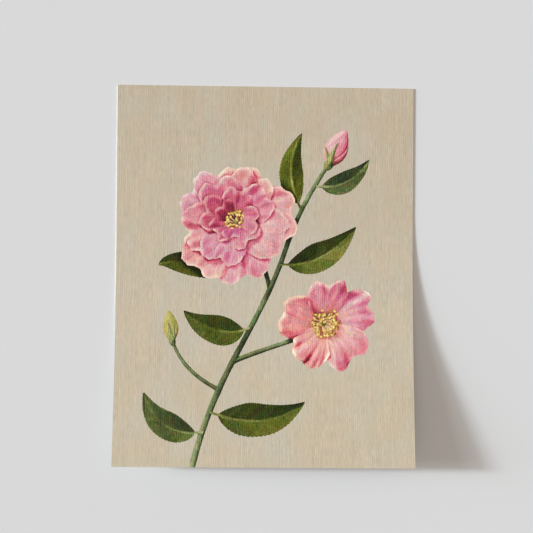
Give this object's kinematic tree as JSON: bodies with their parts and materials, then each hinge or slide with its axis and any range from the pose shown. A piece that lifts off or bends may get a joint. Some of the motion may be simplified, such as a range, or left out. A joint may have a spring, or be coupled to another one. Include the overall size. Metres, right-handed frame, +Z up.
{
  "type": "unframed art print",
  "caption": "Unframed rectangular art print: one sheet of heavy matte paper with a full-bleed painted picture, lying face up, its lower half bent up a little off the table.",
  "frame": {"origin": "on the table, under the middle of the sheet's outline as it lies on its back", "axes": "+X to the right of the picture, +Y towards the picture's top edge, +Z up, out of the printed face"},
  "size_m": [0.2796, 0.355, 0.0178],
  "materials": {
    "printed_paper": "matte"
  },
  "bodies": {
    "root": {"print_sheet": "printed_paper"}
  },
  "joints": []
}
